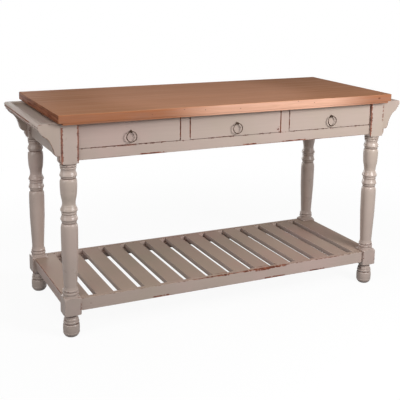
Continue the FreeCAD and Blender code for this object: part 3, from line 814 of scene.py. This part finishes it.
def make_end_shelves(bracket_paint, rail_paint):
    for node in [n for n in NODES if n.startswith(("bracket_", "end_rail_"))]:
        low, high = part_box(node)
        right = node.endswith("_right")
        if node.startswith("bracket_"):
            rail_low, rail_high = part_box("end_rail_" + node.split("_")[2])
            wide = rail_high.x - low.x if right else high.x - rail_low.x
            tall = high.z - low.z
            outline = [(wide * out, -tall * down) for out, down in outline_points(BRACKET_OUTLINE)]
            outline = [(low.x + x if right else high.x - x, high.z + z) for x, z in outline]
            joints = {0, 1, 2, len(outline) - 1}
            paints = bracket_paint
        else:
            outline = outline_points(RAIL_OUTLINE)
            outline = [(x * MM, high.z - z * MM) for x, z in outline]
            outline = [(high.x - x if right else low.x + x, z) for x, z in outline]
            joints = {len(outline) - 2, len(outline) - 1}
            paints = rail_paint
        piece = make_prism(node + "_moulded", outline, low.y, high.y, joints)
        place_piece(piece, "frame", "paint", paints, node)
        ease(piece, EASE["paint"] * MOULDING_EASE, 1, marked=True)


# Ring pulls
FRONTWARD = Vector((0, -1, 0))
BACKWARD = Vector((0, 1, 0))
UPWARD = Vector((0, 0, 1))
RING_SIDES = 16
RING_STEPS = 72
LATHE_SIDES = 24

# The eye's bar, as a share of its plate's width, and profiles as (radius, distance outward) in millimetres
EYE_BAR = 0.124
EYE_BACK_PROFILE = [(5.6, 0.0), (5.6, 0.8), (4.9, 1.7), (3.4, 2.3), (2.3, 3.0), (2.1, 5.5)]
NUT_PROFILE = [
    (6.5, 0.0), (6.5, 1.0), (4.6, 1.0), (4.6, 3.6), (4.0, 4.2), (2.0, 4.2), (2.0, 8.0), (1.6, 8.6),
]
NUT_SIDES = 12


def torus(middle, radius, bar, axis):
    """Points and faces of a ring of round bar about the X or Y axis."""
    points = []
    for i in range(RING_STEPS):
        turn = 2 * math.pi * i / RING_STEPS
        for j in range(RING_SIDES):
            around = 2 * math.pi * j / RING_SIDES
            out = radius + bar * math.cos(around)
            a, b, c = out * math.cos(turn), out * math.sin(turn), bar * math.sin(around)
            points.append(middle + Vector((a, c, b) if axis == "y" else (c, a, b)))
    faces = []
    for i in range(RING_STEPS):
        k = (i + 1) % RING_STEPS
        for j in range(RING_SIDES):
            m = (j + 1) % RING_SIDES
            face = (i * RING_SIDES + j, i * RING_SIDES + m, k * RING_SIDES + m, k * RING_SIDES + j)
            faces.append(face if axis == "y" else tuple(reversed(face)))
    return points, faces


def lathe(middle, profile, outward, sides=LATHE_SIDES):
    """Points and faces of a turned piece that stands out from a face."""
    side = Vector((1, 0, 0))
    up = outward.cross(side)
    rings = []
    for radius, out in profile:
        ring = []
        for i in range(sides):
            turn = 2 * math.pi * i / sides
            around = side * math.cos(turn) + up * math.sin(turn)
            ring.append(middle + (around * radius + outward * out) * MM)
        rings.append(ring)
    return loft(rings)


def make_pulls(metal):
    for number in ("1", "2", "3"):
        low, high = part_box("pull_ring_" + number)
        bar = (high.y - low.y) / 2
        radius = (high.x - low.x) / 2 - bar
        middle = (low + high) / 2
        ring = make_object("ring_" + number, *torus(middle, radius, bar, "y"))
        place_piece(ring, "ring_" + number, "bronze", [metal], "pull_ring_" + number)

        eye_low, eye_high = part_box("pull_eye_" + number)
        hinge = Vector((middle.x, middle.y, middle.z + radius))
        eye_bar = (eye_high.x - eye_low.x) * EYE_BAR
        loop = torus(hinge, hinge.y - eye_low.y - eye_bar, eye_bar, "x")
        plate = lathe(Vector((hinge.x, eye_high.y, hinge.z)), EYE_BACK_PROFILE, FRONTWARD)
        eye = make_object("eye_" + number, *joined(plate, loop))
        place_piece(eye, "drawer_" + number, "bronze", [metal], "pull_eye_" + number)

        behind = Vector((hinge.x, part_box("drawer_" + number + "_front")[1].y, hinge.z))
        nut = make_object("pull_nut_" + number, *lathe(behind, NUT_PROFILE, BACKWARD, NUT_SIDES))
        place_piece(nut, "drawer_" + number, "bronze", [metal])


# Filled nail holes, in millimetres: (x, z) on the top's front edge and on the shelf rail, (x, y) on a slat
TOP_NAILS = [(-396, 894), (-258, 906), (-165, 899), (-4, 895), (275, 909), (356, 899)]
SHELF_RAIL_NAIL = (-645, 134)
SLAT_NAIL = (-594, -124)
NAIL_PROFILE = [(1.7, -0.5), (1.7, 0.05), (0.85, 0.2)]
NAIL_SIDES = 14


def make_nail_holes(material):
    top_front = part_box("worktop")[0].y
    parts = []
    for x, z in TOP_NAILS:
        parts.append(lathe(Vector((x * MM, top_front, z * MM)), NAIL_PROFILE, FRONTWARD, NAIL_SIDES))
    place_piece(make_object("top_nail_filler", *joined(*parts)), "frame", "top_wood", [material])

    x, z = SHELF_RAIL_NAIL
    on_rail = Vector((x * MM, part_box("shelf_rail_front")[0].y, z * MM))
    x, y = SLAT_NAIL
    on_slat = Vector((x * MM, y * MM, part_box("shelf_slats")[1].z))
    parts = [
        lathe(on_rail, NAIL_PROFILE, FRONTWARD, NAIL_SIDES),
        lathe(on_slat, NAIL_PROFILE, UPWARD, NAIL_SIDES),
    ]
    place_piece(make_object("shelf_nail_filler", *joined(*parts)), "frame", "paint", [material])


# CAD nodes that stay: eased edges and their finish
RUNNING_GEAR = ("drawer_runners", "drawer_guides", "drawer_kickers")


def finish_node(name, slot, materials):
    node = NODES[name]
    node.data.materials.clear()
    for material in materials:
        node.data.materials.append(material)
    ease(node, EASE[slot], 1 if len(materials) > 1 else None)


def finish_nodes():
    slots = {row["node"]: row["material_slot"] for row in frame["record"]["subparts"]}
    rails = painted("paint_rails", "x", WORN_RAIL)
    ends = painted("paint_ends", "y", WORN_BRACKETS)
    uprights = painted("paint_uprights", "z", WORN_DRAWERS)
    drawers = painted("paint_drawers", "x", WORN_DRAWERS)
    shelf_rails = painted("paint_shelf_rails", "x", WORN_SHELF_FRONT, shelf=True)
    slats = painted("paint_slats", "y", WORN_SLATS, SLAT_PITCH, shelf=True)
    wood = [top_wood()]
    pine = {"x": [bare_wood("pine_x", "x")], "y": [bare_wood("pine_y", "y")]}
    for name, slot in slots.items():
        if NODES[name].hide_render:
            continue
        if slot == "top_wood":
            finish_node(name, slot, wood)
        elif slot == "bare_wood":
            finish_node(name, slot, pine["y" if "_side_" in name else "x"])
        elif "slat" in name:
            finish_node(name, slot, slats)
        elif name.startswith("drawer_") and name.endswith("_front"):
            finish_node(name, slot, drawers)
        elif name.startswith("divider"):
            finish_node(name, slot, uprights)
        elif name in ("shelf_rail_front", "shelf_rail_back"):
            finish_node(name, slot, shelf_rails)
        elif name.endswith(("_left", "_right")) or name in RUNNING_GEAR:
            finish_node(name, slot, ends)
        else:
            finish_node(name, slot, rails)


# Stage
def make_camera():
    yaw, pitch, roll = (math.radians(a) for a in (CAMERA_YAW, CAMERA_PITCH, CAMERA_ROLL))
    forward = Vector((math.sin(yaw) * math.cos(pitch), math.cos(yaw) * math.cos(pitch), -math.sin(pitch)))
    level = Vector((math.cos(yaw), -math.sin(yaw), 0))
    upward = level.cross(forward)
    side = level * math.cos(roll) + upward * math.sin(roll)
    up = upward * math.cos(roll) - level * math.sin(roll)
    data = bpy.data.cameras.new("camera")
    data.sensor_width = SENSOR
    data.lens = CAMERA_FOCAL / IMAGE_SIZE * SENSOR
    data.shift_y = SHIFT_Y
    data.clip_end = CAMERA_REACH
    camera = bpy.data.objects.new("camera", data)
    SCENE.collection.objects.link(camera)
    columns = Matrix((side, up, -forward)).transposed()
    camera.matrix_world = Matrix.Translation(CAMERA_PLACE) @ columns.to_4x4()
    SCENE.camera = camera


def make_lamps():
    for name, (place, target, size, power) in LAMPS.items():
        data = bpy.data.lights.new(name, "AREA")
        data.shape = "DISK"
        data.size = size
        data.energy = power
        lamp = bpy.data.objects.new(name, data)
        SCENE.collection.objects.link(lamp)
        lamp.location = place
        aim = Vector(target) - Vector(place)
        lamp.rotation_euler = aim.to_track_quat("-Z", "Y").to_euler()


def seen_directly(tree):
    """1 for rays from the camera, a reflection or clear glass."""
    path = tree.nodes.new("ShaderNodeLightPath")
    seen = path.outputs["Is Camera Ray"]
    for kind in ("Is Glossy Ray", "Is Transmission Ray"):
        larger = tree.nodes.new("ShaderNodeMath")
        larger.operation = "MAXIMUM"
        tree.links.new(seen, larger.inputs[0])
        tree.links.new(path.outputs[kind], larger.inputs[1])
        seen = larger.outputs[0]
    return seen


def make_world():
    world = bpy.data.worlds.new("studio")
    SCENE.world = world
    world.use_nodes = True
    tree = world.node_tree
    tree.nodes.clear()
    out = tree.nodes.new("ShaderNodeOutputWorld")
    mix = tree.nodes.new("ShaderNodeMixShader")
    tree.links.new(seen_directly(tree), mix.inputs[0])
    for socket, strength in ((1, SOFT_LIGHT), (2, 1.0)):
        light = tree.nodes.new("ShaderNodeBackground")
        light.inputs["Color"].default_value = (1, 1, 1, 1)
        light.inputs["Strength"].default_value = strength
        tree.links.new(light.outputs[0], mix.inputs[socket])
    tree.links.new(mix.outputs[0], out.inputs[0])


def make_floor():
    """A white floor: it glows where it is seen, most far away, and keeps the object's shadow nearby."""
    half = FLOOR_HALF
    corners = [(-half, -half, 0), (half, -half, 0), (half, half, 0), (-half, half, 0)]
    floor = make_object("floor", corners, [(0, 1, 2, 3)], smooth=False)
    g = Graph("floor")
    g.tree.nodes.remove(g.shader)
    out = g.tree.nodes["Material Output"]
    seen = seen_directly(g.tree)
    bounce = (FLOOR_BOUNCE, FLOOR_BOUNCE, FLOOR_BOUNCE, 1)
    white = (FLOOR_SEEN, FLOOR_SEEN, FLOOR_SEEN, 1)
    matte = g.node("BsdfDiffuse", {"Color": g.mix(seen, bounce, white)})
    glow = g.node("Emission", {"Strength": 1.0})
    share = g.step(g.length(g.place()), FLOOR_NEAR, FLOOR_FAR, FLOOR_GLOW, 1.0)
    share = g.math("MULTIPLY", share, seen)
    mix = g.node("MixShader", {0: share, 1: matte.outputs[0], 2: glow.outputs[0]})
    g.tree.links.new(mix.outputs[0], out.inputs[0])
    floor.data.materials.append(g.material)


def build():
    metal = bronze()
    make_legs({
        "leg": paint("paint_legs", "z", (), "edge", turned=True),
        "leg_front_left": paint("paint_leg_front_left", "z", WORN_LEG_FRONT_LEFT, "edge", turned=True),
        "leg_front_right": paint("paint_leg_front_right", "z", WORN_LEG_FRONT_RIGHT, "edge", turned=True),
    })
    brackets = painted("paint_brackets", "z", WORN_BRACKETS)
    end_rails = painted("paint_end_rails", "y", WORN_BRACKETS)
    make_end_shelves(brackets, end_rails)
    make_pulls(metal)
    make_nail_holes(filler())
    finish_nodes()
    make_camera()
    make_lamps()
    make_world()
    make_floor()
    SCENE.view_settings.view_transform = "Standard"


build()
